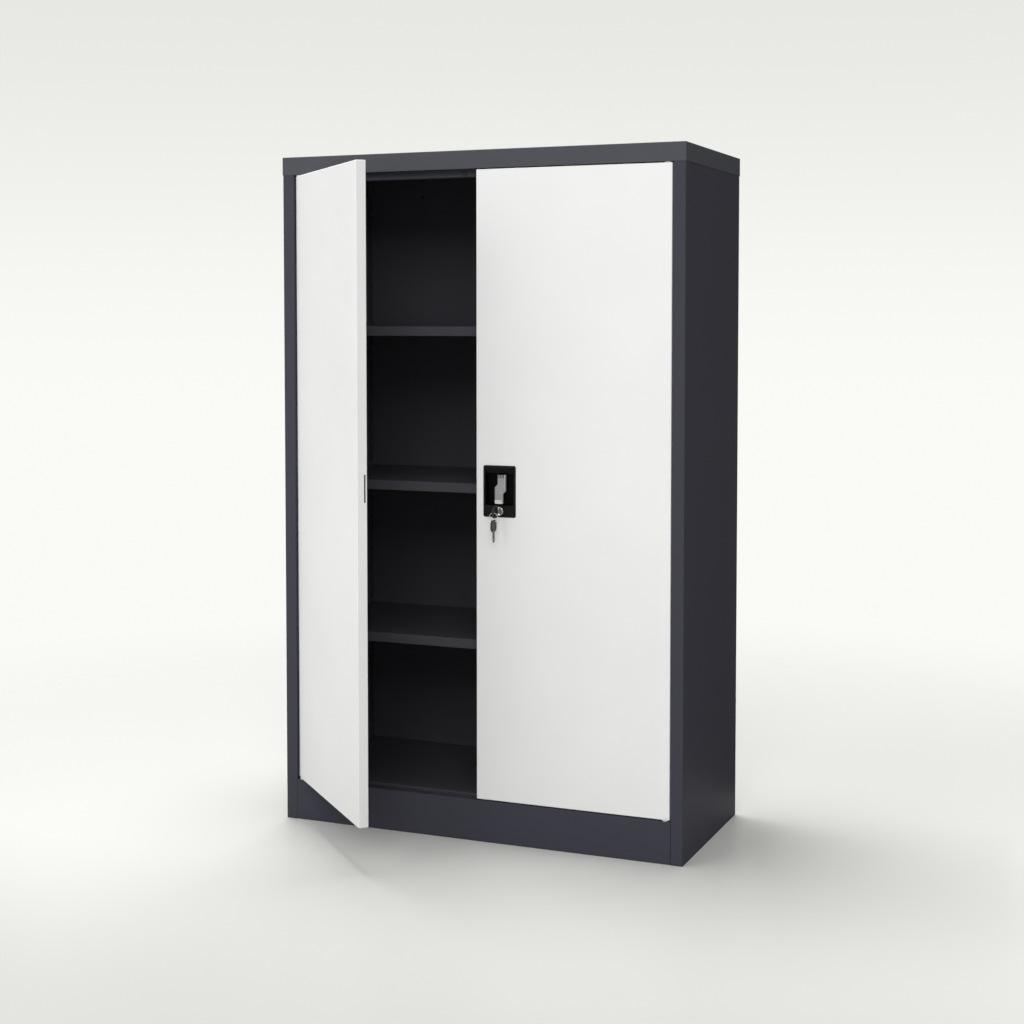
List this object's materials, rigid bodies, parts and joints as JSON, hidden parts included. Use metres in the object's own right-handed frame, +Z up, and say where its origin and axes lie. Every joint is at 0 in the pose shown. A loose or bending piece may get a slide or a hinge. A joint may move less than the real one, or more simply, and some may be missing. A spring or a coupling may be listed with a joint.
{
  "type": "steel office cabinet",
  "caption": "Steel office cabinet with hinged pan doors, adjustable shelves, plinth base and a recessed lever lock that drives rods.",
  "frame": {"origin": "on the floor, in the middle of the cabinet body's footprint", "axes": "+X to the right of someone who faces the doors, +Y to the back, +Z up"},
  "size_m": [0.88, 0.6681, 1.4],
  "materials": {
    "cap_paint": "satin powder coat",
    "body_paint": "satin powder coat",
    "interior_paint": "satin powder coat",
    "door_paint": "satin powder coat",
    "zinc_steel": "zinc plated",
    "bumper_rubber": "matt",
    "nylon": "matt",
    "black_moulding": "fine texture, semi-gloss",
    "chromed_metal": "polished",
    "cast_lever": "satin nickel",
    "brass_plug": "nickel plated",
    "key_steel": "nickel plated",
    "key_moulding": "matt"
  },
  "bodies": {
    "cabinet": {"top_cap": "cap_paint", "right_side_panel": "body_paint", "left_side_panel": "body_paint", "plinth": "body_paint", "header_rail": "body_paint", "bottom_panel": "interior_paint", "bottom_stiffener": "interior_paint", "cap_stiffener": "interior_paint", "rear_base_rail": "interior_paint", "back_panel": "interior_paint", "back_screws": "zinc_steel", "cap_screws": "zinc_steel", "right_front_upright": "interior_paint", "right_rear_upright": "interior_paint", "left_front_upright": "interior_paint", "left_rear_upright": "interior_paint", "right_hinge_pins": "zinc_steel", "left_hinge_pins": "zinc_steel", "door_bumpers": "bumper_rubber", "shelf_lower": "interior_paint", "shelf_stiffener_lower": "interior_paint", "shelf_clips_lower": "zinc_steel", "shelf_middle": "interior_paint", "shelf_stiffener_middle": "interior_paint", "shelf_clips_middle": "zinc_steel", "shelf_upper": "interior_paint", "shelf_stiffener_upper": "interior_paint", "shelf_clips_upper": "zinc_steel"},
    "right_door": {"right_door_panel": "door_paint", "right_door_stiffener": "door_paint", "right_door_pivot_plates": "door_paint", "right_door_bushes": "nylon", "lock_housing": "black_moulding", "lock_back_plate": "zinc_steel", "back_plate_screws": "zinc_steel", "lock_cylinder": "chromed_metal", "cylinder_clip": "zinc_steel", "upper_rod_guide": "nylon", "lower_rod_guide": "nylon"},
    "left_door": {"left_door_panel": "door_paint", "left_door_stiffener": "door_paint", "left_door_pivot_plates": "door_paint", "left_door_bushes": "nylon", "left_door_keeper": "zinc_steel"},
    "lever_set": {"lever": "cast_lever", "spindle": "zinc_steel", "spindle_clip": "zinc_steel", "cam_plate": "zinc_steel", "drive_pinion": "zinc_steel"},
    "upper_rod": {"upper_rod": "zinc_steel"},
    "lower_rod": {"lower_rod": "zinc_steel"},
    "lock_plug": {"lock_plug": "brass_plug", "locking_tongue": "zinc_steel", "tongue_screw": "zinc_steel"},
    "key": {"key_blade": "key_steel", "key_head": "key_moulding"},
    "key_ring": {"key_ring": "key_steel"},
    "spare_key": {"spare_key_blade": "key_steel", "spare_key_head": "key_moulding"}
  },
  "joints": [
    {"name": "right_door_hinge", "type": "hinge", "parent": "cabinet", "child": "right_door", "pos_m": [0.402, -0.188, 0.72], "axis": [0, 0, 1], "range_deg": [0, 110]},
    {"name": "left_door_hinge", "type": "hinge", "parent": "cabinet", "child": "left_door", "pos_m": [-0.402, -0.188, 0.72], "axis": [0, 0, -1], "range_deg": [-44.5, 65.5]},
    {"name": "lever_turn", "type": "hinge", "parent": "right_door", "child": "lever_set", "pos_m": [0.054, -0.194, 0.721], "axis": [0, -1, 0], "range_deg": [0, 90]},
    {"name": "upper_rod_slide", "type": "slide", "parent": "right_door", "child": "upper_rod", "axis": [0, 0, 1], "range_m": [0, 0.01571]},
    {"name": "lower_rod_slide", "type": "slide", "parent": "right_door", "child": "lower_rod", "axis": [0, 0, -1], "range_m": [0, 0.01571]},
    {"name": "key_turn", "type": "hinge", "parent": "right_door", "child": "lock_plug", "pos_m": [0.053, -0.194, 0.677], "axis": [0, 1, 0], "range_deg": [0, 90]},
    {"name": "key_pull", "type": "slide", "parent": "lock_plug", "child": "key", "axis": [0, -1, 0], "range_m": [0, 0.02]},
    {"name": "ring_swing", "type": "hinge", "parent": "key", "child": "key_ring", "pos_m": [0.053, -0.2234, 0.67649], "axis": [1, 0, 0], "range_deg": [-10, 10]},
    {"name": "spare_key_swing", "type": "hinge", "parent": "key_ring", "child": "spare_key", "pos_m": [0.053, -0.2234, 0.65849], "axis": [1, 0, 0], "range_deg": [-10, 10]}
  ],
  "couplings": [
    {"joint": "upper_rod_slide", "follows": "lever_turn", "m_per_rad": 0.01},
    {"joint": "lower_rod_slide", "follows": "lever_turn", "m_per_rad": 0.01}
  ]
}
